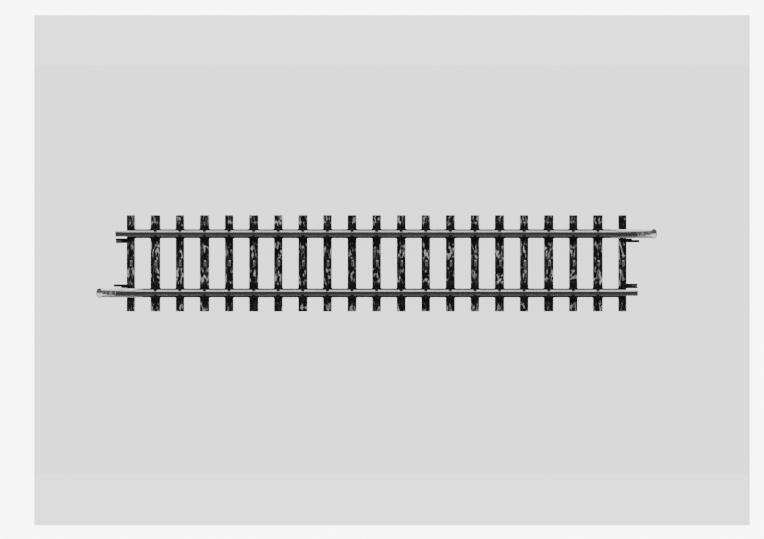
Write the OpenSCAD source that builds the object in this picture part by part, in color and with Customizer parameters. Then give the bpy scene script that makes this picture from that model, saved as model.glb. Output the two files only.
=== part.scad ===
// Straight section of model railway track with stud contacts down the middle.
// X runs along the track, Y across it and Z up. The origin is on the surface that the
// track lies on, under the middle of the section. The far rail is on the +Y side.
// Near pieces are the far ones turned half round about Z: each rail carries a joiner at
// one end and is bare at the other, so any end mates with any other end.

/* [Track] */
// Length of each rail
section_l = 156; // [120:4:190]
// Clear width between the rail heads
gauge = 16.7; // [16.5:0.05:16.8]
// Number of sleepers
sleeper_n = 21; // [13:2:23]
// From the end of a rail to the middle of the end sleeper
end_offset = 4.55; // [4.5:0.05:5]

/* [Sleepers] */
// Length of a sleeper, across the track
sleeper_l = 28.8; // [28:0.1:30]
// Mean width of a sleeper, along the track
sleeper_w = 2.6; // [2.4:0.05:2.6]
// How much broader or narrower than that the sleepers near the ends are
width_spread = 0.24; // [0:0.02:0.24]
// Height from the surface it lies on to the rail seat
sleeper_h = 3.2; // [3.1:0.1:3.5]
// Thickness of a sleeper's side walls
shell_t = 0.45; // [0.4:0.05:0.5]
// Thickness of a sleeper's top
roof_t = 1; // [0.9:0.05:1.1]
// Width of a rail chair where it grips the foot
chair_w = 0.8; // [0.7:0.05:1]

/* [Rails] */
// Height of the rail
rail_h = 2.5; // [2.4:0.1:2.7]
// Width of the head
head_w = 1; // [0.9:0.05:1.2]
// Width of the foot
foot_w = 1.8; // [1.7:0.05:1.9]
// Thickness of the web
web_t = 0.6; // [0.5:0.05:0.7]

/* [Rail joiners] */
// Thickness of the sheet that the joiners are folded from
joiner_t = 0.22; // [0.18:0.01:0.24]
// Width of a joiner
joiner_w = 2.7; // [2.6:0.05:2.75]
// Length of rail that a joiner grips
joiner_grip = 8; // [7:0.1:8.2]
// How far a joiner stands out past the rail
joiner_reach = 5.7; // [5:0.1:6]

/* [Contacts] */
// Height of the studs above the rail seat
stud_rise = 1; // [0.8:0.05:1.2]
// Length of a stud, across the track
stud_l = 1.9; // [1.6:0.1:2.1]
// Width of a stud, along the track
stud_w = 0.6; // [0.5:0.05:0.7]
// How far the studs sit to one side of the middle of their sleepers
stud_shift = 0.2; // [0:0.05:0.2]

/* [Hidden] */
// Gap round pieces that are gripped or slide
fit = 0.03;
// Depth by which one solid is sunk into another that it is joined to
weld = 0.2;
// Overshoot of a cut past the face that it opens
over = 0.1;

// Places along and across the track
middle_i = (sleeper_n + 1) / 2;
pitch = (section_l - 2 * end_offset) / (sleeper_n - 1);
rail_y = (gauge + head_w) / 2;
rail_end = section_l / 2;
end_sleeper_x = rail_end - end_offset;

// Rail section, measured up from the underside of the foot
foot_edge_t = 0.35;
foot_top = 0.65;
head_bottom = rail_h - 0.75;
head_side_bottom = rail_h - 0.55;
head_round = 0.12;
end_chamfer = 0.1;

// Sleepers: the underside is hollow and the ends are solid
end_wall_t = 0.8;
plate_reach = 3.4;
plate_h = 0.12;
shoulder_reach = 1.95;
shoulder_w = chair_w + 0.4;
foot_clear = foot_w / 2 + fit;
clip_in = 0.52;
clip_out = 1.7;
clip_h = 0.8;
pad_l = 3.3;
joiner_bed_depth = 0.4;
joiner_bed_clear = 0.15;

// Strips under the rails that tie the sleepers together
tie_w = 2.65;
tie_bottom = 1;
tie_top = sleeper_h - joiner_bed_depth - 0.05;

// Joiners: a channel folded over the foot, measured from the underside of the foot
joiner_half_w = joiner_w / 2;
joiner_l = joiner_grip + joiner_reach;
joiner_corner = 0.08;
lip_gap = 0.04;
lip_in = 0.62;
foot_slope = (foot_top - foot_edge_t) / ((foot_w - web_t) / 2);
inner_taper = 2.6;
tip_taper = 1.1;
tip_corner = 0.55;

// Contact ladder: two strips under the rails and a rung under every sleeper
ladder_bottom = 0.6;
ladder_t = 0.25;
ladder_top = ladder_bottom + ladder_t;
strip_w = 0.9;
rung_w = 0.9;
strip_notch_clear = 0.1;
stud_t = 0.2;
stud_corner = 0.22;
stud_top = sleeper_h + stud_rise;

// Couplings beside the rail ends: a peg at one end of each rail and a socket at the other
slot_y = [6.2, 7.05];
socket_y = [slot_y[0] - 0.15, slot_y[1] + 0.4];
slot_l = 2.3;
socket_top = sleeper_h - 0.2;
socket_bottom = 0.8;
socket_floor_top = 1.15;
socket_slant = 0.7;
tunnel_top = 1.75;
peg_y = [6.25, 7];
peg_base_y = [6.7, 7.4];
peg_tip_x = rail_end + 0.5;
peg_step_x = rail_end - 2.9;
peg_base_x = rail_end - 1.7;
tongue_y = [6.3, 6.95];
tongue_notch_clear = 0.2;
tongue_top = tunnel_top;
tongue_tip_x = rail_end + 0.3;
tongue_foot_x = end_sleeper_x + 1.2;
tongue_rise_l = 0.85;
spring_t = 0.15;
spring_top = 1.6;
spring_tip_x = rail_end - 0.1;
spring_root_x = end_sleeper_x - rung_w / 2;
spring_foot_x = end_sleeper_x + 1.45;
spring_rise_l = 1;

function two_digits(i) = str(i < 10 ? "0" : "", i);
function sleeper_node(i) = str("sleeper_", two_digits(i));
function stud_node(i) = str("stud_", two_digits(i));

// Middle of sleeper i, counted from the -X end
function sleeper_x(i) = (i - middle_i) * pitch;

// The sleepers are uneven, like sawn timber: broad and narrow ones take turns, most at the ends
function sleeper_width(i) =
    sleeper_w + (i % 2 == 0 ? 1 : -1) * width_spread * abs(i - middle_i) / (middle_i - 1);

function is_end(i) = i == 1 || i == sleeper_n;

// Outline made of the right half given and its mirror image, closed across the middle
function both_halves(half) =
    concat(half, [for (k = [len(half) - 1:-1:0]) [-half[k][0], half[k][1]]]);

// Top of the foot's slope at a distance across from the middle of the rail
function foot_slope_z(y) = foot_edge_t + (foot_w / 2 - y) * foot_slope;

// Box between its lowest and its highest corner
module box(low, high) {
    translate(low)
        cube(high - low);
}

// Outline in Y and Z, drawn out along X
module along_x(x0, x1) {
    translate([x0, 0, 0])
        rotate([90, 0, 90])
            linear_extrude(height = x1 - x0)
                children();
}

// Outline in X and Z, drawn out along Y
module along_y(y0, y1) {
    translate([0, y1, 0])
        rotate([90, 0, 0])
            linear_extrude(height = y1 - y0)
                children();
}

module half_turn() {
    rotate([0, 0, 180])
        children();
}

// Section of the rail, with a gap added round it
module rail_outline(gap = 0) {
    polygon(both_halves([
        [foot_w / 2 + gap, 0],
        [foot_w / 2 + gap, foot_edge_t + gap],
        [web_t / 2 + gap, foot_top + gap],
        [web_t / 2 + gap, head_bottom],
        [head_w / 2 + gap, head_side_bottom],
        [head_w / 2 + gap, rail_h - head_round],
        [head_w / 2 + gap - head_round, rail_h + gap]
    ]));
}

// Side view of the rail: the running edge is eased at both ends
module rail_side_outline() {
    polygon(both_halves([
        [rail_end, 0],
        [rail_end, rail_h - end_chamfer],
        [rail_end - end_chamfer, rail_h]
    ]));
}

module rail() {
    color("silver")
        translate([0, rail_y, sleeper_h])
            intersection() {
                along_x(-rail_end, rail_end)
                    rail_outline();
                along_y(-foot_w, foot_w)
                    rail_side_outline();
            }
}

// Smooth plate on one side of a rail, drawn in to a shoulder at the foot
module chair_plate(w) {
    translate([0, 0, sleeper_h - weld])
        linear_extrude(height = weld + plate_h)
            polygon(both_halves([
                [shoulder_w / 2, foot_clear],
                [w / 2, shoulder_reach],
                [w / 2, plate_reach]
            ]));
}

// Clip that holds the foot down on one side of a rail
module chair_clip() {
    translate([0, 0, sleeper_h])
        difference() {
            along_x(-chair_w / 2, chair_w / 2)
                polygon([
                    [clip_in, -weld],
                    [clip_out, -weld],
                    [clip_out, clip_h / 3],
                    [foot_clear + joiner_t, clip_h],
                    [clip_in, clip_h]
                ]);
            along_x(-chair_w, chair_w)
                rail_outline(fit);
        }
}

// Chair round one rail of a sleeper of width w
module chair(w) {
    for (side = [0, 1])
        mirror([0, side, 0]) {
            chair_plate(w);
            chair_clip();
        }
}

// Smooth raised pad round a stud
module stud_pad(w) {
    box([-w / 2, -pad_l / 2, sleeper_h - weld], [w / 2, pad_l / 2, sleeper_h + plate_h]);
}

// Hollow underside, with notches that let the ladder's two strips through
module sleeper_hollow(w) {
    inside_w = w / 2 - shell_t;
    inside_l = sleeper_l / 2 - end_wall_t;
    notch_half = strip_w / 2 + strip_notch_clear;
    box([-inside_w, -inside_l, -over], [inside_w, inside_l, sleeper_h - roof_t]);
    for (y = [-rail_y, rail_y])
        box([-w, y - notch_half, -over], [w, y + notch_half, ladder_top + strip_notch_clear]);
}

module stud_slot() {
    half_w = stud_w / 2 + fit;
    half_l = stud_l / 2 + fit;
    box([stud_shift - half_w, -half_l, 0], [stud_shift + half_w, half_l, sleeper_h + 1]);
}

// Recesses of an end sleeper: both rails leave room for a joiner, and the peg's tongue
// and the socket's spring leave the hollow through the outer wall
module end_sleeper_cuts(w) {
    bed_half = joiner_half_w + joiner_bed_clear;
    for (y = [-rail_y, rail_y])
        box([-w, y - bed_half, sleeper_h - joiner_bed_depth], [w, y + bed_half, sleeper_h + 1]);
    for (side = [0, 1])
        mirror([0, side, 0])
            box(
                [0, tongue_y[0] - tongue_notch_clear, -over],
                [w, tongue_y[1] + tongue_notch_clear, ladder_top + spring_t + tongue_notch_clear]
            );
}

module sleeper(i) {
    w = sleeper_width(i);
    color("dimgray")
        translate([sleeper_x(i), 0, 0])
            difference() {
                union() {
                    box([-w / 2, -sleeper_l / 2, 0], [w / 2, sleeper_l / 2, sleeper_h]);
                    stud_pad(w);
                    if (!is_end(i))
                        for (y = [-rail_y, rail_y])
                            translate([0, y, 0])
                                chair(w);
                }
                sleeper_hollow(w);
                stud_slot();
                if (is_end(i))
                    mirror([i == 1 ? 1 : 0, 0, 0])
                        end_sleeper_cuts(w);
            }
}

// One short strip in each bay between two sleepers
module tie_strip() {
    color("dimgray")
        for (i = [1:sleeper_n - 1])
            box(
                [sleeper_x(i) + sleeper_width(i) / 2, rail_y - tie_w / 2, tie_bottom],
                [sleeper_x(i + 1) - sleeper_width(i + 1) / 2, rail_y + tie_w / 2, tie_top]
            );
}

// Section of a joiner: floor, two sides and lips that follow the slope of the foot
module joiner_outline() {
    side_in = joiner_half_w - joiner_t;
    polygon(both_halves([
        [joiner_half_w - joiner_corner, -fit - joiner_t],
        [joiner_half_w, -fit - joiner_t + joiner_corner],
        [joiner_half_w, foot_slope_z(joiner_half_w) + lip_gap + joiner_t],
        [lip_in, foot_slope_z(lip_in) + lip_gap + joiner_t],
        [lip_in, foot_slope_z(lip_in) + lip_gap],
        [side_in, foot_slope_z(side_in) + lip_gap],
        [side_in, -fit]
    ]));
}

// Side view of a joiner: the sides run down to the floor at both ends
module joiner_side_outline() {
    top = foot_slope_z(lip_in) + lip_gap + joiner_t + over;
    polygon([
        [0, -1],
        [0, 0],
        [inner_taper, top],
        [joiner_l - tip_taper, top],
        [joiner_l, 0],
        [joiner_l, -1]
    ]);
}

// Plan view of a joiner: the tip's corners are cut off
module joiner_plan_outline() {
    polygon([
        [0, -joiner_half_w],
        [joiner_l - tip_corner, -joiner_half_w],
        [joiner_l, tip_corner - joiner_half_w],
        [joiner_l, joiner_half_w - tip_corner],
        [joiner_l - tip_corner, joiner_half_w],
        [0, joiner_half_w]
    ]);
}

module joiner() {
    color("gainsboro")
        translate([rail_end - joiner_grip, rail_y, sleeper_h])
            intersection() {
                along_x(0, joiner_l)
                    joiner_outline();
                along_y(-joiner_half_w - 1, joiner_half_w + 1)
                    joiner_side_outline();
                translate([0, 0, -1])
                    linear_extrude(height = rail_h)
                        joiner_plan_outline();
            }
}

// Tongue of the ladder that steps up to lie under a peg
module ladder_tongue() {
    rise_x = tongue_foot_x + tongue_rise_l;
    along_y(tongue_y[0], tongue_y[1])
        polygon([
            [end_sleeper_x, ladder_bottom],
            [tongue_foot_x, ladder_bottom],
            [rise_x, tongue_top - ladder_t],
            [tongue_tip_x, tongue_top - ladder_t],
            [tongue_tip_x, tongue_top],
            [rise_x - ladder_t / 2, tongue_top],
            [tongue_foot_x - ladder_t / 2, ladder_top],
            [end_sleeper_x, ladder_top]
        ]);
}

module ladder_strip() {
    end_x = end_sleeper_x + rung_w / 2;
    box([-end_x, rail_y - strip_w / 2, ladder_bottom], [end_x, rail_y + strip_w / 2, ladder_top]);
}

module contact_ladder() {
    color("lightgray")
        union() {
            for (i = [1:sleeper_n])
                translate([sleeper_x(i), 0, 0])
                    box([-rung_w / 2, -rail_y, ladder_bottom], [rung_w / 2, rail_y, ladder_top]);
            ladder_strip();
            ladder_tongue();
            half_turn() {
                ladder_strip();
                ladder_tongue();
            }
        }
}

// Stud folded like a staple, standing on its rung and passing through the sleeper's top
module stud(i) {
    half_l = stud_l / 2;
    inner_l = half_l - stud_t;
    color("silver")
        translate([sleeper_x(i) + stud_shift, 0, 0])
            along_x(-stud_w / 2, stud_w / 2)
                polygon(both_halves([
                    [inner_l - stud_corner / 2, stud_top - stud_t],
                    [inner_l, stud_top - stud_t - stud_corner / 2],
                    [inner_l, ladder_top],
                    [half_l, ladder_top],
                    [half_l, stud_top - stud_corner],
                    [half_l - stud_corner, stud_top]
                ]));
}

// Peg beside the far rail's joiner end
module peg() {
    color("dimgray")
        translate([0, 0, tongue_top])
            linear_extrude(height = socket_top - tongue_top)
                polygon([
                    [end_sleeper_x + sleeper_width(1) / 2, peg_base_y[0]],
                    [peg_step_x, peg_base_y[0]],
                    [peg_step_x, peg_y[0]],
                    [peg_tip_x, peg_y[0]],
                    [peg_tip_x, peg_y[1]],
                    [peg_base_x, peg_y[1]],
                    [peg_base_x, peg_base_y[1]],
                    [end_sleeper_x + sleeper_width(1) / 2, peg_base_y[1]]
                ]);
}

// Socket beside the near rail's bare end: a slot between two walls with a floor below,
// and at its root a tunnel that the spring comes through
module socket() {
    root_x = end_sleeper_x + sleeper_width(1) / 2;
    slot_x = rail_end - slot_l;
    color("dimgray")
        mirror([0, 1, 0])
            difference() {
                box([root_x, socket_y[0], socket_bottom], [rail_end, socket_y[1], socket_top]);
                translate([0, 0, socket_floor_top])
                    linear_extrude(height = socket_top)
                        polygon([
                            [slot_x, slot_y[0]],
                            [rail_end + over, slot_y[0]],
                            [rail_end + over, slot_y[1]],
                            [slot_x + socket_slant, slot_y[1]]
                        ]);
                box(
                    [root_x - over, slot_y[0], socket_floor_top],
                    [slot_x + socket_slant + over, slot_y[1], tunnel_top]
                );
                box(
                    [root_x - over, slot_y[0], socket_bottom - over],
                    [slot_x, slot_y[1], socket_floor_top + over]
                );
            }
}

// Leaf spring in the near socket: its root lies on the end rung and its blade fills the slot
module spring() {
    rise_x = spring_foot_x + spring_rise_l;
    color("lightgray")
        along_y(-tongue_y[1], -tongue_y[0])
            polygon([
                [spring_root_x, ladder_top],
                [spring_foot_x, ladder_top],
                [rise_x, spring_top - spring_t],
                [spring_tip_x, spring_top - spring_t],
                [spring_tip_x, spring_top],
                [rise_x - spring_t / 2, spring_top],
                [spring_foot_x - spring_t / 2, ladder_top + spring_t],
                [spring_root_x, ladder_top + spring_t]
            ]);
}

for (i = [1:sleeper_n]) {
    sleeper(i);
    stud(i);
}
tie_strip();  // far_tie_strip
half_turn() tie_strip();  // near_tie_strip
rail();  // far_rail
half_turn() rail();  // near_rail
joiner();  // far_joiner
half_turn() joiner();  // near_joiner
contact_ladder();
peg();  // far_peg
half_turn() peg();  // near_peg
half_turn() socket();  // far_socket
socket();  // near_socket
half_turn() spring();  // far_spring
spring();  // near_spring
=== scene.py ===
import math

import bmesh
import bpy
import numpy as np
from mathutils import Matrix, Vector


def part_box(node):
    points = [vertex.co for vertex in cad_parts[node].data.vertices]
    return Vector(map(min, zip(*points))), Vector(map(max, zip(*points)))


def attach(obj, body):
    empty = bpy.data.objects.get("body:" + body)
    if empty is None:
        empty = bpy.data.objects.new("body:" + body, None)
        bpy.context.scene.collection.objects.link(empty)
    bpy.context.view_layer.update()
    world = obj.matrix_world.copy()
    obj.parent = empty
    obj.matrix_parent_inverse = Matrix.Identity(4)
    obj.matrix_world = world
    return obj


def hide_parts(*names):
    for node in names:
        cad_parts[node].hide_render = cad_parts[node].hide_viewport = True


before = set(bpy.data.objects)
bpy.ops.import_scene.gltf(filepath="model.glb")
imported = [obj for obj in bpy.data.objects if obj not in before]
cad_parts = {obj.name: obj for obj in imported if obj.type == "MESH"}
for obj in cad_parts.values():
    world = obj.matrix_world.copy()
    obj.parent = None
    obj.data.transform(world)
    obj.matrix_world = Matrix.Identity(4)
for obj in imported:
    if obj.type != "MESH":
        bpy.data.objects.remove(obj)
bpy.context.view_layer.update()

# Straight section of model railway track with stud contacts, seen from straight above.
# X runs along the track, Y across it and Z up. Sizes are in millimetres unless a name
# ends in _M, angles are in degrees, and every mesh is scaled to metres when it is made.

MM = 0.001
BODY = "track"
SLEEPER_COUNT = 21
SEED = 4


def cad_box(node):
    """Lowest and highest corner of a CAD node, in millimetres."""
    low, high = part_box(node)
    return np.array(low) / MM, np.array(high) / MM


RAIL_LOW, RAIL_HIGH = cad_box("far_rail")
SEAT_Z = RAIL_LOW[2]
RAIL_Y = (RAIL_LOW[1] + RAIL_HIGH[1]) / 2
RAIL_END = RAIL_HIGH[0]
FOOT_HALF = (RAIL_HIGH[1] - RAIL_LOW[1]) / 2
RAIL_H = RAIL_HIGH[2] - SEAT_Z

# Rail section, above the seat
FOOT_EDGE_T = 0.35
FOOT_TOP = 0.65
WEB_HALF = 0.3
WEB_FILLET = 0.16
FOOT_FILLET = 0.18
HEAD_FILLET = 0.08
HEAD_FILLET_W = 0.06
FILLET_BULGE = 0.04
FILLET_RISE = 0.02
FOOT_SLOPE = (FOOT_TOP - FOOT_EDGE_T) / (FOOT_HALF - WEB_HALF)
HEAD_HALF = 0.5
HEAD_BOTTOM = 1.75
HEAD_SIDE_BOTTOM = 1.95
HEAD_EASE = 0.07
HEAD_EASE_DROP = 0.035
HEAD_CORNER = 0.04
HEAD_CORNER_DROP = 0.03
RAIL_CREASE = 25

# Rail ends: the edges are broken, and the top dips at the end and runs out
END_BREAK = 0.04
END_CHAMFER = 0.1
END_DIP = 0.03
END_RUN_OUT = 0.1
PLAIN_FROM_END = 4
PLAIN_STATIONS = 20

# Sleepers
EDGE_ROUND = 0.03
ROUND_STEPS = 4
SHELL_T = 0.45
ROOF_T = 1.0
END_WALL_T = 0.8
PLATE_H = 0.12
PLATE_REACH = 3.4
SHOULDER_REACH = 1.95
SHOULDER_HALF = 0.6
FOOT_CLEAR = FOOT_HALF + 0.03
PAD_HALF = 1.65
BED_DEPTH = 0.4
BED_HALF = 1.5
BED_RIM = 1.0
STRIP_NOTCH_HALF = 0.55
STRIP_NOTCH_TOP = 0.95
TONGUE_NOTCH_Y = (6.1, 7.15)
TONGUE_NOTCH_TOP = 1.2
STEP = 0.01
SOFT_EDGE = 0.09
COLUMN_STEP = 0.08
ROW_STEP = 0.15

# Moulded wood grain: width and length of its features, the values between which they rise,
# and the least that is left of the grain where a feature fades it
GRAIN_DEPTH = 0.1
SIDE_DENT = 0.01
SIDE_ROWS = (0.35, 0.7, 0.88)
SIDE_GRAIN_SHIFT = 5
STRENGTH = (0.8, 1.15)
FLAME_W, FLAME_L, FLAME_RISE = 0.85, 3.2, (0.8, 0.93)
FIBRE_W, FIBRE_L, FIBRE_RISE = 0.4, 1.2, (0.55, 0.68)
HAIR_W, HAIR_L, HAIR_RISE, HAIR_LEAST = 0.3, 0.7, (0.25, 0.5), 0.3
CLOUD_W, CLOUD_L, CLOUD_RISE, CLOUD_LEAST = 1.6, 2.6, (0.3, 0.6), 0.5
WANDER, WANDER_W, WANDER_L = 0.55, 3.0, 2.5
RAGGED, RAGGED_STRETCH, RAGGED_LINE, RAGGED_MEAN = 0.9, 1.7, 40.0, 0.4
PAD_BORDER, PLATE_BORDER = 0.3, 0.35
GRAIN_REACH = 2.8
# Share of the painted grain highlight left on the sleeper's ends beyond the rails
END_GRAIN_HIGHLIGHT = 0.75
PAD_GRAIN = 0.3

# Chair clips, measured from the middle of the rail and above the seat
CLIP_IN = 0.5
CLIP_OUT = 1.6
CLIP_TOP = 0.8
CLIP_SHOULDER = 1.35
CLIP_BACK_Z = (CLIP_TOP / 3, CLIP_TOP * 0.62, CLIP_TOP * 0.94)
CLIP_LEAN = 0.12
CLIP_CROWN = 0.15
CLIP_HALF_IN = 0.4
CLIP_HALF_OUT = 0.5
CLIP_SUNK = 0.1
CLIP_FIT = 0.03
CLIP_EASE = 0.06
CLIP_CORE = (1.3, 0.3)
CLIP_CHEEK = 0.08

# Joiners
SHEET_T = 0.22
JOINER_HALF = 1.35
JOINER_FIT = 0.03
LIP_IN = 0.62
LIP_GAP = 0.04
FLOOR_BEND_R = 0.34
LIP_BEND_R = 0.12
LIP_EDGE_DEPTH = 0.09
LIP_EDGE_BACK = 0.06
INNER_TAPER = 2.6
TIP_FLARE = 1.7
TIP_FLARE_OUT = 0.25
TIP_NOSE = 1.1
TIP_NARROW = 1.0
TIP_KEEL = 0.55
TIP_LIP = 0.75
TAPER_SIDE = 0.3
TAPER_LIP = 0.2
TAPER_STATIONS, GRIP_STATIONS, TIP_STATIONS = 12, 16, 14
RISE_END, LIP_START = 0.5, 0.4
FLOOR_BEND_MAX = 0.7
NOSE_SIDE_LOSS = 0.85
FLARE_LIP_LOSS = 0.75
KEEL_FULL = 0.5

# Studs
STUD_T = 0.2
STUD_BEND_R = 0.34
STUD_EDGE = 0.04
STUD_EDGE_STEPS = 3

# Tie strips
TIE_HALF = 1.325
TIE_FILLET = 0.5
TIE_WIDEN_MAX = 0.42
TIE_CHAMFER = 0.08
TIE_SUNK = 0.05

# Pieces that keep their CAD shape: their rounded edges, and how their meshes are cleaned
COUPLING_EDGE = 0.03
LADDER_EDGE = 0.05
WELD = 0.002
FLAT_ANGLE = 1
COPY_CREASE = 30

# Bevels round the edges that bend by more than this
BEVEL_ANGLE = 35


def smoothstep(low, high, value):
    """0 below low, 1 above high, and a smooth rise between them."""
    t = np.clip((value - low) / (high - low), 0, 1)
    return t * t * (3 - 2 * t)


def make_noise(rng, size=64):
    """Smooth noise from 0 to 1 over a lattice of random numbers."""
    lattice = rng.random((size, size))

    def noise(u, v):
        cell_u, cell_v = np.floor(u).astype(int), np.floor(v).astype(int)
        fade_u = smoothstep(0, 1, u - cell_u)
        fade_v = smoothstep(0, 1, v - cell_v)

        def at(du, dv):
            return lattice[(cell_u + du) % size, (cell_v + dv) % size]

        near = at(0, 0) * (1 - fade_u) + at(1, 0) * fade_u
        far = at(0, 1) * (1 - fade_u) + at(1, 1) * fade_u
        return near * (1 - fade_v) + far * fade_v

    return noise


def make_grain(seed):
    """Grain of one sleeper: 0 in the grooves and 1 on the ridges, at places across and along.
    Flames are the outlines of long closed rings, and fibres are short bold streaks."""
    rng = np.random.default_rng(seed)
    wander, flame, fibre, hair, cloud = (make_noise(rng) for _ in range(5))
    strength = rng.uniform(*STRENGTH)

    def grain_and_highlight(across, along):
        bent = across + WANDER * (wander(across / WANDER_W, along / WANDER_L) - 0.5)
        ring = flame(bent / FLAME_W, along / FLAME_L)
        lines = smoothstep(*FLAME_RISE, 1 - np.abs(2 * ring - 1))
        streaks = smoothstep(*FIBRE_RISE, fibre(bent / FIBRE_W, along / FIBRE_L))
        clouds = smoothstep(*CLOUD_RISE, cloud(across / CLOUD_W, along / CLOUD_L))
        hairs = smoothstep(*HAIR_RISE, hair(bent / HAIR_W, along / HAIR_L))
        fading = CLOUD_LEAST + (1 - CLOUD_LEAST) * clouds
        fine = HAIR_LEAST + (1 - HAIR_LEAST) * hairs
        return np.clip(strength * fading * fine * (lines + streaks), 0, 1)

    return grain_and_highlight


def skin(rows, caps=True):
    """Vertices and faces of a closed tube through rows that have the same number of points."""
    rows = np.asarray(rows, float)
    count, around = rows.shape[:2]
    start = np.arange(count - 1)[:, None] * around
    here = np.arange(around)[None, :]
    after = (here + 1) % around
    quads = np.stack(
        [start + here, start + after, start + around + after, start + around + here], -1
    )
    faces = [tuple(q) for q in quads.reshape(-1, 4).tolist()]
    if caps:
        faces.append(tuple(range(around - 1, -1, -1)))
        faces.append(tuple(range((count - 1) * around, count * around)))
    return rows.reshape(-1, 3), faces


def joined(parts):
    """One set of vertices and faces out of several."""
    vertices, faces, base = [], [], 0
    for part_vertices, part_faces in parts:
        vertices.append(np.asarray(part_vertices, float))
        faces += [tuple(k + base for k in face) for face in part_faces]
        base += len(part_vertices)
    return np.concatenate(vertices), faces


def half_turned(part):
    """The same part turned half round about Z."""
    vertices, faces = part
    return np.asarray(vertices) * [-1, -1, 1], faces


def mirrored(part, axis):
    """The same part seen in a mirror across one axis, its faces still pointing outwards."""
    vertices, faces = part
    flip = np.ones(3)
    flip[axis] = -1
    return np.asarray(vertices) * flip, [face[::-1] for face in faces]


def rounded_path(points, radii, steps=7):
    """Path in a plane whose corners are drawn as bends, each with its own radius."""
    points = np.asarray(points, float)
    path = [points[0]]
    for before, corner, after, radius in zip(points, points[1:], points[2:], radii):
        to_before = (before - corner) / np.linalg.norm(before - corner)
        to_after = (after - corner) / np.linalg.norm(after - corner)
        half_angle = math.acos(np.clip(to_before @ to_after, -1, 1)) / 2
        reach = radius / math.tan(half_angle)
        start, end = corner + to_before * reach, corner + to_after * reach
        for t in np.linspace(0, 1, steps):
            path.append((1 - t) ** 2 * start + 2 * t * (1 - t) * corner + t * t * end)
    path.append(points[-1])
    return np.array(path)


def sheet_outline(path, thickness, edge_depth=0.0, edge_back=0.0):
    """Outline of a sheet that follows a path: one side of it out and the other back. The other
    side's edges can be broken, to a depth in the sheet's thickness and back along its face."""
    along = np.gradient(path, axis=0)
    along /= np.linalg.norm(along, axis=1)[:, None]
    normal = np.stack([-along[:, 1], along[:, 0]], 1)
    out, back = path + normal * thickness / 2, (path - normal * thickness / 2)[::-1]
    if not edge_depth:
        return np.concatenate([out, back])
    last_edge = back[0] + normal[-1] * edge_depth
    first_edge = back[-1] + normal[0] * edge_depth
    back[0] -= along[-1] * edge_back
    back[-1] += along[0] * edge_back
    return np.concatenate([out, [last_edge], back, [first_edge]])


def add_bevel(piece, width, segments=2):
    """Rounds the piece's sharp edges."""
    bevel = piece.modifiers.new("bevel", "BEVEL")
    bevel.width = width * MM
    bevel.segments = segments
    bevel.limit_method = "ANGLE"
    bevel.angle_limit = math.radians(BEVEL_ANGLE)
    return piece


def make_piece(name, part, material, body, nodes, attributes=None, crease=38):
    """Object made of vertices and faces in millimetres, which replaces CAD nodes and rides on a body."""
    vertices, faces = part
    mesh = bpy.data.meshes.new(name)
    mesh.from_pydata((np.asarray(vertices) * MM).tolist(), [], faces)
    for key, values in (attributes or {}).items():
        layer = mesh.attributes.new(key, "FLOAT", "POINT")
        layer.data.foreach_set("value", np.asarray(values, np.float32))
    mesh.update()
    piece = bpy.data.objects.new(name, mesh)
    return dress_piece(piece, material, body, nodes, crease)


def dress_piece(piece, material, body, nodes, crease):
    """Links a new object, gives it its material and ties it to the CAD frame. Edges that bend by
    more than the crease angle stay sharp."""
    mesh = piece.data
    mesh.shade_smooth()
    mesh.set_sharp_from_angle(angle=math.radians(crease))
    mesh.materials.clear()
    mesh.materials.append(material)
    bpy.context.scene.collection.objects.link(piece)
    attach(piece, body)
    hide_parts(*nodes)
    return piece


# Materials


class Nodes:
    """Short names for the shader nodes that the materials are put together from."""

    def __init__(self, name):
        self.material = bpy.data.materials.new(name)
        self.material.use_nodes = True
        self.tree = self.material.node_tree
        self.tree.nodes.clear()
        self.output = self.tree.nodes.new("ShaderNodeOutputMaterial")

    def add(self, kind, inputs=None, **settings):
        node = self.tree.nodes.new(kind)
        for key, value in settings.items():
            setattr(node, key, value)
        for key, value in (inputs or {}).items():
            if isinstance(value, bpy.types.NodeSocket):
                self.tree.links.new(value, node.inputs[key])
            else:
                node.inputs[key].default_value = value
        return node

    def place(self, scale):
        """Place on the piece at rest, stretched by scale, in periods per metre."""
        coordinates = self.add("ShaderNodeTexCoord")
        mapping = self.add("ShaderNodeMapping", {"Vector": coordinates.outputs["Object"]})
        mapping.inputs["Scale"].default_value = scale
        return mapping.outputs["Vector"]

    def noise(self, scale, detail=3.0, roughness=0.55):
        inputs = {"Vector": self.place(scale), "Scale": 1.0}
        inputs.update({"Detail": detail, "Roughness": roughness})
        return self.add("ShaderNodeTexNoise", inputs).outputs["Fac"]

    def spread(self, value, low, high, to_low=0.0, to_high=1.0):
        inputs = {"Value": value, "From Min": low, "From Max": high}
        inputs.update({"To Min": to_low, "To Max": to_high})
        return self.add("ShaderNodeMapRange", inputs).outputs["Result"]

    def math(self, operation, first, second):
        return self.add(
            "ShaderNodeMath", {0: first, 1: second}, operation=operation
        ).outputs[0]

    def attribute(self, name):
        return self.add("ShaderNodeAttribute", attribute_name=name).outputs["Fac"]

    def ramp(self, value, *stops):
        """Grey or colour stops: (place, colour)."""
        node = self.add("ShaderNodeValToRGB", {"Fac": value})
        elements = node.color_ramp.elements
        while len(elements) < len(stops):
            elements.new(0.5)
        for element, (place, colour) in zip(elements, stops):
            element.position = place
            element.color = (*colour, 1)
        return node.outputs["Color"]

    def bump(self, height, distance, strength):
        inputs = {"Height": height, "Distance": distance * MM, "Strength": strength}
        return self.add("ShaderNodeBump", inputs).outputs["Normal"]

    def finish(self, inputs):
        shader = self.add("ShaderNodeBsdfPrincipled", inputs)
        self.tree.links.new(shader.outputs[0], self.output.inputs["Surface"])
        return self.material


def grey(value, warmth=0.0):
    """Nearly neutral colour of a brightness."""
    return (value * (1 + warmth), value, value * (1 - warmth))


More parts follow.
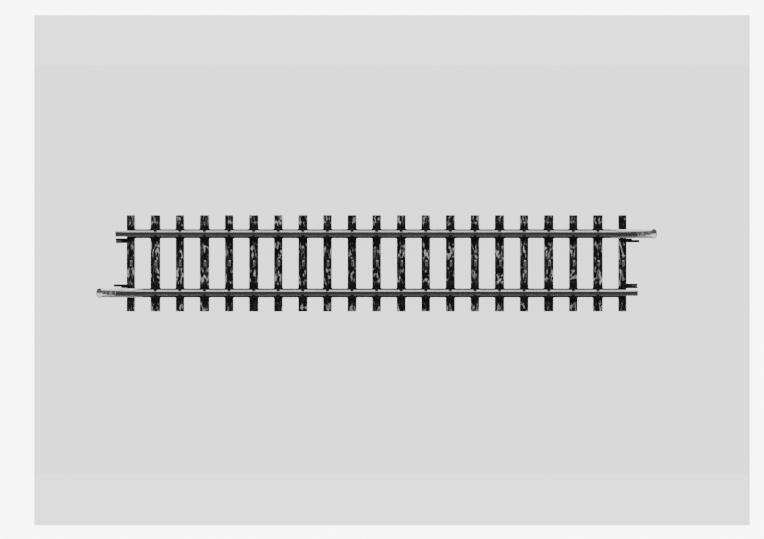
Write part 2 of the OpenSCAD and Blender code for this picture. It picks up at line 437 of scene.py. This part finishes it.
def sleeper_material():
    """Black moulded plastic: the grain's ridges are painted paler than its grooves as a painted
    highlight, and are glossier.
    """
    n = Nodes("sleeper plastic")
    grain_and_highlight = n.attribute("grain_and_highlight")
    cloud = n.noise((900, 350, 900), 4)
    hair = n.noise((7000, 900, 7000), 3)
    ridge_highlights = n.math("MULTIPLY", grain_and_highlight, n.spread(cloud, 0.3, 0.7, 0.75, 1.1))
    tone = n.math("ADD", ridge_highlights, n.spread(hair, 0.45, 0.75, 0.0, 0.12))
    # Painted highlight: the ridges are painted from grey up to near white, standing in for the gloss
    # that catches the light on them. The grooves stay black.
    colour = n.ramp(
        tone,
        (0.0, grey(0.004)),
        (0.25, grey(0.05)),
        (0.6, grey(0.4)),
        (1.0, grey(0.95)),
    )
    return n.finish({
        "Base Color": colour,
        "Roughness": n.spread(hair, 0.3, 0.7, 0.35, 0.55),
        "Specular IOR Level": 0.3,
        "Normal": n.bump(hair, 0.01, 0.4),
    })


def moulding_material():
    """Smooth black plastic with the faint mottling of a moulding."""
    n = Nodes("smooth plastic")
    cloud = n.noise((1500, 1500, 1500), 4)
    fine = n.noise((14000, 14000, 14000), 2)
    return n.finish({
        "Base Color": n.ramp(cloud, (0.3, grey(0.004)), (0.7, grey(0.014))),
        "Roughness": n.spread(fine, 0.3, 0.7, 0.3, 0.45),
        "Specular IOR Level": 0.35,
        "Normal": n.bump(fine, 0.02, 0.35),
    })


def drawn_metal(name, dark, light, rough, streak, direction=0, bump=0.25):
    """Metal drawn or rolled along one axis: fine streaks along it and patches of dull tarnish."""
    n = Nodes(name)
    fine = [16000.0] * 3
    fine[direction] = 160.0
    streaks = n.noise(tuple(fine), 4, 0.65)
    patches = n.noise((260, 900, 900), 5)
    tone = n.math("ADD", n.math("MULTIPLY", streaks, streak), n.math("MULTIPLY", patches, 1 - streak))
    return n.finish({
        "Base Color": n.ramp(tone, (0.32, dark), (0.68, light)),
        "Metallic": 1.0,
        "Roughness": n.spread(tone, 0.3, 0.7, rough[1], rough[0]),
        "Normal": n.bump(streaks, 0.001, bump),
    })


PLASTIC = sleeper_material()
SMOOTH_PLASTIC = moulding_material()
RAIL_METAL = drawn_metal("rail metal", grey(0.38), grey(0.52), (0.15, 0.25), 0.4)
JOINER_METAL = drawn_metal("joiner sheet", grey(0.55), grey(0.75), (0.22, 0.36), 0.35)
STUD_METAL = drawn_metal("stud metal", grey(0.35), grey(0.8), (0.2, 0.4), 0.2, 1)
CONTACT_METAL = drawn_metal("contact strip", grey(0.45, 0.04), grey(0.7, 0.04), (0.28, 0.45), 0.4)


# Sleepers


def sleeper_rows_y(half_l, is_end):
    """Places along a sleeper where its mesh has a row: evenly spaced, and a pair at each step."""
    rows = list(np.arange(0, half_l - EDGE_ROUND, ROW_STEP))
    steps = [half_l - END_WALL_T, PAD_HALF]
    steps += [RAIL_Y - STRIP_NOTCH_HALF, RAIL_Y + STRIP_NOTCH_HALF]
    if is_end:
        steps += [RAIL_Y - BED_HALF, RAIL_Y + BED_HALF, *TONGUE_NOTCH_Y]
    for y in steps:
        rows += [y - STEP, y + STEP]
    rows += list(half_l - EDGE_ROUND * (1 - np.sin(np.linspace(0, math.pi / 2, ROUND_STEPS))))
    rows = np.unique(np.round(rows, 4))
    return np.concatenate([-rows[::-1], rows[1:] if rows[0] == 0 else rows])


def plate_half(from_rail, half_w):
    """Half the width of the smooth plate beside a rail."""
    share = (from_rail - FOOT_CLEAR) / (SHOULDER_REACH - FOOT_CLEAR)
    return SHOULDER_HALF + (half_w - SHOULDER_HALF) * np.clip(share, 0, 1)


def sleeper_top(across, along, half_w, is_end, grain_and_highlight):
    """Height of the top above the rail seat, and how strongly the grain's ridges are painted pale there
    as a painted highlight. A line of grain from beyond the sleeper makes the borders of the smooth zones
    uneven."""
    from_rail = np.abs(np.abs(along) - RAIL_Y)
    ridge = grain_and_highlight(across, along)
    border = grain_and_highlight(across * RAGGED_STRETCH, np.full_like(along, RAGGED_LINE))
    ragged = RAGGED * (border - RAGGED_MEAN)
    pad = smoothstep(PAD_HALF + SOFT_EDGE, PAD_HALF, np.abs(along))
    inside_pad = PAD_HALF - np.abs(along) - ragged
    pad_smooth = smoothstep(-PAD_BORDER, PAD_BORDER, inside_pad)
    reach = BED_HALF + BED_RIM if is_end else GRAIN_REACH
    smooth = smoothstep(-PLATE_BORDER, PLATE_BORDER, reach - from_rail - ragged)
    smooth = np.maximum(smooth, pad_smooth * (1 - PAD_GRAIN))
    if is_end:
        raised = pad * PLATE_H - (from_rail < BED_HALF) * BED_DEPTH
    else:
        near = smoothstep(PLATE_REACH + SOFT_EDGE, PLATE_REACH, from_rail)
        seat = smoothstep(FOOT_CLEAR - SOFT_EDGE, FOOT_CLEAR, from_rail)
        edge = plate_half(from_rail, half_w + SOFT_EDGE)
        plate = near * seat * smoothstep(edge, edge - SOFT_EDGE, np.abs(across))
        raised = np.maximum(pad, plate) * PLATE_H
    # Where the grain's ridges show, they are painted pale as a painted highlight, more weakly on the
    # ends beyond the rails.
    ridge_highlight = (1 - smooth) * ridge * np.where(np.abs(along) > RAIL_Y, END_GRAIN_HIGHLIGHT, 1.0)
    return raised - (1 - smooth) * GRAIN_DEPTH * (1 - ridge), ridge_highlight


def sleeper_body(number):
    """Hollow sleeper with a grained top, as one skin, and how strongly its grain's ridges are painted
    pale as a painted highlight at each vertex.
    """
    low, high = cad_box(f"sleeper_{number:02d}")
    half_w, half_l = (high[0] - low[0]) / 2, (high[1] - low[1]) / 2
    middle = (high[0] + low[0]) / 2
    is_end = number in (1, SLEEPER_COUNT)
    outward = -1 if number == 1 else 1
    grain_and_highlight = make_grain(SEED * 100 + number)

    arc = np.linspace(0, math.pi / 2, ROUND_STEPS)
    arc_x = half_w - EDGE_ROUND + EDGE_ROUND * np.sin(arc)
    arc_drop = EDGE_ROUND * (1 - np.cos(arc))
    flat_half = half_w - EDGE_ROUND
    flat_count = int(2 * flat_half / COLUMN_STEP)
    flat_x = np.linspace(-flat_half, flat_half, flat_count + 1)[1:-1]
    top_x = np.concatenate([-arc_x[::-1], flat_x, arc_x])
    top_drop = np.concatenate([arc_drop[::-1], np.zeros_like(flat_x), arc_drop])
    side_z = np.array(SIDE_ROWS)

    rows, ridge_highlights = [], []
    for y in sleeper_rows_y(half_l, is_end):
        round_end = np.clip(EDGE_ROUND - (half_l - abs(y)), 0, EDGE_ROUND)
        inset = EDGE_ROUND - math.sqrt(EDGE_ROUND**2 - round_end**2)
        height, ridge_highlight = sleeper_top(top_x, np.full_like(top_x, y), half_w, is_end, grain_and_highlight)
        top_z = SEAT_Z + height - top_drop - inset
        from_rail = abs(abs(y) - RAIL_Y)
        foot_z = STRIP_NOTCH_TOP if from_rail < STRIP_NOTCH_HALF else 0.0
        foot = {-1: foot_z, 1: foot_z}
        if is_end and TONGUE_NOTCH_Y[0] < abs(y) < TONGUE_NOTCH_Y[1]:
            foot[outward] = TONGUE_NOTCH_TOP
        hollow_half = half_w - SHELL_T
        hollow_top = SEAT_Z - ROOF_T if abs(y) < half_l - END_WALL_T else 0.0
        walls = {}
        for side, end_z in ((-1, top_z[0]), (1, top_z[-1])):
            z = foot[side] + (end_z - foot[side]) * side_z
            ridge = grain_and_highlight(z + SIDE_GRAIN_SHIFT * side, y)
            dent = SIDE_DENT * (1 - ridge) * (from_rail > PLATE_REACH)
            walls[side] = [(side * (half_w - d), v) for d, v in zip(dent, z)]
        loop = [(-half_w, foot[-1]), *walls[-1], *zip(top_x, top_z)]
        loop += [*walls[1][::-1], (half_w, foot[1])]
        loop += [(hollow_half, foot[1]), (hollow_half, max(hollow_top, foot[1] * (hollow_top > 0)))]
        loop += [(-hollow_half, max(hollow_top, 0.0)), (-hollow_half, foot[-1])]
        squeeze = (half_w - inset) / half_w
        rows.append([(middle + x * squeeze, y, z) for x, z in loop])
        wall, hollow = np.zeros(len(SIDE_ROWS) + 1), np.zeros(4)
        ridge_highlights.append(np.concatenate([wall, ridge_highlight, wall, hollow]))
    return skin(rows), np.concatenate(ridge_highlights)


def clip_part():
    """Clip on one side of a rail. Seen from above it narrows towards the rail."""

    def slope_z(y):
        return FOOT_EDGE_T + (FOOT_HALF - y) * FOOT_SLOPE + CLIP_FIT

    outline = np.array([
        (CLIP_OUT, -CLIP_SUNK),
        (CLIP_OUT, CLIP_BACK_Z[0]),
        (CLIP_OUT - CLIP_LEAN, CLIP_BACK_Z[1]),
        (CLIP_SHOULDER, CLIP_BACK_Z[2]),
        (CLIP_SHOULDER - CLIP_CROWN, CLIP_TOP),
        (CLIP_IN + CLIP_EASE, CLIP_TOP),
        (CLIP_IN, CLIP_TOP - CLIP_EASE),
        (CLIP_IN, slope_z(CLIP_IN)),
        (FOOT_CLEAR, slope_z(FOOT_CLEAR)),
        (FOOT_CLEAR, -CLIP_SUNK),
    ])
    share = (outline[:, 0] - CLIP_IN) / (CLIP_OUT - CLIP_IN)
    half = CLIP_HALF_IN + (CLIP_HALF_OUT - CLIP_HALF_IN) * share
    rows = []
    for side, shrink in ((-1, CLIP_CHEEK), (-1, 0.0), (1, 0.0), (1, CLIP_CHEEK)):
        shrunk = CLIP_CORE + (outline - CLIP_CORE) * (1 - shrink)
        x = side * (half - (CLIP_EASE if shrink == 0 else 0.0))
        rows.append([(v, y, SEAT_Z + z) for v, (y, z) in zip(x, shrunk)])
    return skin(rows)


def make_sleepers():
    clip = clip_part()
    clips = [clip, mirrored(clip, 1)]
    for number in range(1, SLEEPER_COUNT + 1):
        node = f"sleeper_{number:02d}"
        low, high = cad_box(node)
        body, ridge_highlights = sleeper_body(number)
        parts = [body]
        if number not in (1, SLEEPER_COUNT):
            for rail_y in (-RAIL_Y, RAIL_Y):
                for vertices, faces in clips:
                    parts.append((vertices + [(low[0] + high[0]) / 2, rail_y, 0], faces))
        part = joined(parts)
        # Each vertex carries how strongly its grain ridge is painted pale as a painted highlight.
        grain_and_highlight = np.zeros(len(part[0]))
        grain_and_highlight[: len(ridge_highlights)] = ridge_highlights
        make_piece(
            f"visual_{node}", part, PLASTIC, BODY, [node], {"grain_and_highlight": grain_and_highlight}
        )


# Rails


def rail_half_outline():
    """Right half of the rail's section, from the foot to the head. The head's edge is eased."""
    return [
        (FOOT_HALF, 0.0),
        (FOOT_HALF, FOOT_EDGE_T),
        (WEB_HALF + FOOT_FILLET, FOOT_TOP - FOOT_FILLET * FOOT_SLOPE),
        (WEB_HALF + FILLET_BULGE, FOOT_TOP + FILLET_RISE),
        (WEB_HALF, FOOT_TOP + WEB_FILLET),
        (WEB_HALF, HEAD_BOTTOM - HEAD_FILLET),
        (WEB_HALF + HEAD_FILLET_W, HEAD_BOTTOM + FILLET_RISE),
        (HEAD_HALF - HEAD_CORNER, HEAD_SIDE_BOTTOM - HEAD_CORNER_DROP),
        (HEAD_HALF, HEAD_SIDE_BOTTOM + HEAD_CORNER),
        (HEAD_HALF, RAIL_H - HEAD_EASE_DROP),
        (HEAD_HALF - HEAD_EASE, RAIL_H),
    ]


def rail_part():
    """Far rail: its section drawn out along X, with its edges broken at both ends. A station is a
    place along X, how far the edges are drawn in there, and how far the top dips."""
    half = rail_half_outline()
    outline = np.array(half + [(-y, z) for y, z in half[::-1]])
    rows = []
    stations = [
        (RAIL_END, END_BREAK, END_CHAMFER),
        (RAIL_END - END_BREAK, 0.0, END_CHAMFER - END_BREAK),
        (RAIL_END - END_CHAMFER, 0.0, END_DIP),
        (RAIL_END - END_CHAMFER - END_RUN_OUT, 0.0, 0.0),
    ]
    plain = np.linspace(RAIL_END - PLAIN_FROM_END, 0, PLAIN_STATIONS)
    stations += [(x, 0.0, 0.0) for x in plain]
    ends = [(-x, inset, drop) for x, inset, drop in stations]
    for x, inset, drop in ends + stations[::-1][1:]:
        z = np.minimum(outline[:, 1], RAIL_H - drop)
        z = inset + z * (RAIL_H - 2 * inset) / RAIL_H
        y = outline[:, 0] * (FOOT_HALF - inset) / FOOT_HALF
        rows.append(np.stack([np.full_like(y, x), RAIL_Y + y, SEAT_Z + z], 1))
    return skin(rows)


def make_rails():
    far = rail_part()
    for name, part in (("far_rail", far), ("near_rail", half_turned(far))):
        make_piece(f"visual_{name}", part, RAIL_METAL, BODY, [name], crease=RAIL_CREASE)


# Rail joiners


def joiner_section(half_w, side_h, lip_l, keel):
    """Section of the folded sheet above the seat: lip, side, floor, side, lip. The middle of the
    floor lies lower by the keel."""
    out = half_w - SHEET_T / 2
    floor_z = -JOINER_FIT - SHEET_T / 2
    side_top = floor_z + side_h
    right = [
        (0.0, floor_z - keel),
        (out, floor_z),
        (out, side_top),
        (out - lip_l, side_top + lip_l * FOOT_SLOPE),
    ]
    floor_bend_r = min(FLOOR_BEND_R, side_h * FLOOR_BEND_MAX)
    path = rounded_path(right, [floor_bend_r, LIP_BEND_R])
    both = np.concatenate([(path * [-1, 1])[::-1], path[1:]])
    return sheet_outline(both, SHEET_T, LIP_EDGE_DEPTH, LIP_EDGE_BACK)


def joiner_part():
    """Far joiner: a channel that holds the rail's foot. Its inner end tapers, its tip flares and
    ends in a round nose, and its floor has a keel past the rail's end."""
    low, high = cad_box("far_joiner")
    length = high[0] - low[0]
    out = JOINER_HALF - SHEET_T / 2
    full_side = FOOT_EDGE_T + (FOOT_HALF - out) * FOOT_SLOPE + LIP_GAP + SHEET_T + JOINER_FIT
    full_lip = out - LIP_IN
    places = [
        np.linspace(0, INNER_TAPER, TAPER_STATIONS),
        np.linspace(INNER_TAPER, length - TIP_FLARE, GRIP_STATIONS),
        np.linspace(length - TIP_FLARE, length, TIP_STATIONS),
    ]
    rows = []
    for x in np.unique(np.concatenate(places)):
        rise = smoothstep(0.0, INNER_TAPER * RISE_END, x)
        lip = smoothstep(INNER_TAPER * LIP_START, INNER_TAPER, x)
        flare = smoothstep(length - TIP_FLARE, length - TIP_NOSE, x)
        nose = np.clip((x - length + TIP_NOSE) / TIP_NOSE, 0, 1)
        past_rail = smoothstep(RAIL_END, high[0] - TIP_NOSE, low[0] + x)
        half_w = JOINER_HALF + TIP_FLARE_OUT * flare
        half_w -= TIP_NARROW * (1 - math.sqrt(1 - nose**2))
        side_left = 1 - NOSE_SIDE_LOSS * nose**2
        side_h = TAPER_SIDE + (full_side - TAPER_SIDE) * rise * side_left
        lip_l = TAPER_LIP + (full_lip * (1 - (1 - TIP_LIP) * past_rail) - TAPER_LIP) * lip
        lip_l *= 1 - FLARE_LIP_LOSS * flare
        keel = TIP_KEEL * smoothstep(0, KEEL_FULL, past_rail)
        section = joiner_section(half_w, side_h, lip_l, keel)
        along = np.full(len(section), low[0] + x)
        rows.append(np.stack([along, RAIL_Y + section[:, 0], SEAT_Z + section[:, 1]], 1))
    return skin(rows)


def make_joiners():
    far = joiner_part()
    for name, part in (("far_joiner", far), ("near_joiner", half_turned(far))):
        make_piece(f"visual_{name}", part, JOINER_METAL, f"{name}_body", [name])


# Contact studs


def make_studs():
    """Staples of flat strip, folded over in a round bend and standing on the ladder's rungs."""
    for number in range(1, SLEEPER_COUNT + 1):
        node = f"stud_{number:02d}"
        low, high = cad_box(node)
        half_l = (high[1] - low[1]) / 2 - STUD_T / 2
        top = high[2] - STUD_T / 2
        corners = [(-half_l, low[2]), (-half_l, top), (half_l, top), (half_l, low[2])]
        section = sheet_outline(rounded_path(corners, [STUD_BEND_R] * 2), STUD_T)
        half_w = (high[0] - low[0]) / 2
        middle = (high[0] + low[0]) / 2
        rows = [[(middle + x, y, z) for y, z in section] for x in (-half_w, half_w)]
        piece = make_piece(
            f"visual_{node}", skin(rows), STUD_METAL, BODY, [node]
        )
        add_bevel(piece, STUD_EDGE, STUD_EDGE_STEPS)


# Tie strips


def make_tie_strips():
    """A short web in each bay, widened by a fillet where it meets the sleepers."""
    low, high = cad_box("far_tie_strip")
    webs = []
    for number in range(1, SLEEPER_COUNT):
        start = cad_box(f"sleeper_{number:02d}")[1][0] - TIE_SUNK
        end = cad_box(f"sleeper_{number + 1:02d}")[0][0] + TIE_SUNK
        rows = []
        reach = np.concatenate([np.linspace(0, TIE_FILLET, 6), [(end - start) / 2]])
        for x in np.concatenate([start + reach, end - reach[-2::-1]]):
            from_sleeper = min(x - start, end - x)
            bend = np.clip(TIE_FILLET - from_sleeper, 0, TIE_FILLET)
            half = TIE_HALF + TIE_FILLET - math.sqrt(TIE_FILLET**2 - bend**2)
            half = min(half, TIE_HALF + TIE_WIDEN_MAX)
            flat, shoulder = half - TIE_CHAMFER, high[2] - TIE_CHAMFER
            corners = [(-half, low[2]), (half, low[2]), (half, shoulder)]
            corners += [(flat, high[2]), (-flat, high[2]), (-half, shoulder)]
            rows.append([(x, RAIL_Y + y, z) for y, z in corners])
        webs.append(skin(rows))
    far = joined(webs)
    for name, part in (("far_tie_strip", far), ("near_tie_strip", half_turned(far))):
        make_piece(
            f"visual_{name}", part, SMOOTH_PLASTIC, BODY, [name]
        )


# Pegs, sockets, springs and the ladder keep their CAD shape, with their edges rounded


def make_rounded_copy(name, material, body, width):
    """Copy of a CAD node whose flat faces are whole again, so that its edges can be rounded."""
    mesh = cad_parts[name].data.copy()
    mesh.name = f"visual_{name}"
    clean_mesh(mesh)
    piece = bpy.data.objects.new(f"visual_{name}", mesh)
    dress_piece(piece, material, body, [name], COPY_CREASE)
    return add_bevel(piece, width)


def clean_mesh(mesh):
    """Welds a CAD mesh's vertices and joins the triangles that lie in one plane."""
    work = bmesh.new()
    work.from_mesh(mesh)
    bmesh.ops.remove_doubles(work, verts=work.verts, dist=WELD * MM)
    bmesh.ops.dissolve_limit(
        work, angle_limit=math.radians(FLAT_ANGLE), verts=work.verts, edges=work.edges
    )
    work.to_mesh(mesh)
    work.free()


def make_couplings():
    for side in ("far", "near"):
        for name in (f"{side}_peg", f"{side}_socket"):
            make_rounded_copy(name, SMOOTH_PLASTIC, BODY, COUPLING_EDGE)
        spring = f"{side}_spring"
        make_rounded_copy(spring, CONTACT_METAL, f"{spring}_body", COUPLING_EDGE)
    make_rounded_copy("contact_ladder", CONTACT_METAL, BODY, LADDER_EDGE)


# Stage


def glowing_paper(name, glow, paper=0.12):
    """Plain paper that mostly glows, so that it stays evenly pale, and takes a faint shadow."""
    n = Nodes(name)
    fibres = n.noise((900, 900, 900), 4)
    return n.finish({
        "Base Color": n.ramp(fibres, (0.3, grey(paper * 0.97)), (0.7, grey(paper))),
        "Roughness": 0.9,
        "Specular IOR Level": 0.0,
        "Emission Color": (1, 1, 1, 1),
        "Emission Strength": glow,
    })


def make_stage_mesh(name, vertices, faces, material):
    mesh = bpy.data.meshes.new(name)
    mesh.from_pydata([tuple(v) for v in np.asarray(vertices, float) * MM], [], faces)
    mesh.materials.append(material)
    piece = bpy.data.objects.new(name, mesh)
    bpy.context.scene.collection.objects.link(piece)
    return piece


CARD_X = (-102.5, 111.7)
CARD_Y = (-78.4, -63.1, 59.2, 74.3)
CARD_Z = -0.05
TABLE_Z = -0.5
TABLE_R = 3000.0
WALL_H = 700.0
WALL_SIDES = 96
CARD_GLOW, BAND_GLOW, TABLE_GLOW, WALL_GLOW = 1.93, 2.15, 8.0, 2.6


def make_stage():
    """Pale card under the track, on a white table with a low pale wall round it."""
    card = glowing_paper("card", CARD_GLOW)
    band = glowing_paper("card edge", BAND_GLOW)
    for name, y0, y1, material in zip(
        ("card_near", "card_middle", "card_far"), CARD_Y, CARD_Y[1:], (band, card, band)
    ):
        corners = [(CARD_X[0], y0), (CARD_X[1], y0), (CARD_X[1], y1), (CARD_X[0], y1)]
        make_stage_mesh(name, [(x, y, CARD_Z) for x, y in corners], [(0, 1, 2, 3)], material)
    turns = np.linspace(0, 2 * math.pi, WALL_SIDES, endpoint=False)
    ring = np.stack([np.cos(turns), np.sin(turns)], 1) * TABLE_R
    floor = [(x, y, TABLE_Z) for x, y in ring]
    top = [(x, y, WALL_H) for x, y in ring]
    here = list(range(WALL_SIDES))
    after = here[1:] + here[:1]
    wall = [(k, n, n + WALL_SIDES, k + WALL_SIDES) for k, n in zip(here, after)]
    make_stage_mesh("table", floor, [tuple(here)], glowing_paper("table", TABLE_GLOW))
    make_stage_mesh("wall", floor + top, wall, glowing_paper("wall", WALL_GLOW))


# Lights and camera


LIGHT_DISTANCE_M = 1.2
LONG_BOX_M = (1.6, 0.5)
SQUARE_BOX_M = (0.7, 0.7)
SIDE_ELEVATION, END_ELEVATION = 37, 42
FAR_LIGHT, NEAR_LIGHT, END_LIGHT = 2.2, 0.1, 1.2
WORLD_LIGHT = 0.09


def add_softbox(name, azimuth, elevation, size, radiance):
    """Soft area light aimed at the track. Azimuth 0 stands on the +X side and 90 on the +Y side."""
    light = bpy.data.lights.new(name, "AREA")
    light.shape = "RECTANGLE"
    light.size, light.size_y = size
    light.energy = radiance * math.pi * size[0] * size[1]
    lamp = bpy.data.objects.new(name, light)
    a, e = math.radians(azimuth), math.radians(elevation)
    lamp.location = (
        LIGHT_DISTANCE_M * math.cos(e) * math.cos(a),
        LIGHT_DISTANCE_M * math.cos(e) * math.sin(a),
        LIGHT_DISTANCE_M * math.sin(e),
    )
    lamp.rotation_euler = (-lamp.location).to_track_quat("-Z", "Y").to_euler()
    lamp.visible_camera = False
    bpy.context.scene.collection.objects.link(lamp)


def make_lights():
    add_softbox("far softbox", 90, SIDE_ELEVATION, LONG_BOX_M, FAR_LIGHT)
    add_softbox("near softbox", -90, SIDE_ELEVATION, LONG_BOX_M, NEAR_LIGHT)
    add_softbox("left softbox", 180, END_ELEVATION, SQUARE_BOX_M, END_LIGHT)
    add_softbox("right softbox", 0, END_ELEVATION, SQUARE_BOX_M, END_LIGHT)
    world = bpy.data.worlds.new("dim studio")
    world.use_nodes = True
    background = world.node_tree.nodes["Background"]
    background.inputs["Color"].default_value = (*grey(WORLD_LIGHT), 1)
    bpy.context.scene.world = world


VIEW_WIDTH_M = 0.22805
VIEW_LENS = 250.0
VIEW_SENSOR = 36.0
VIEW_CENTRE_M = (0.00161, -0.00185)
VIEW_LEVEL_M = 0.004
VIEW_REACH_M = 100


def make_camera():
    """Looks straight down through a long lens."""
    camera = bpy.data.cameras.new("camera")
    camera.lens = VIEW_LENS
    camera.sensor_width = VIEW_SENSOR
    camera.clip_end = VIEW_REACH_M
    holder = bpy.data.objects.new("camera", camera)
    height = VIEW_LEVEL_M + VIEW_WIDTH_M * VIEW_LENS / VIEW_SENSOR
    holder.location = (*VIEW_CENTRE_M, height)
    bpy.context.scene.collection.objects.link(holder)
    bpy.context.scene.camera = holder


make_sleepers()
make_rails()
make_joiners()
make_studs()
make_tie_strips()
make_couplings()
make_stage()
make_lights()
make_camera()

bpy.context.view_layer.update()
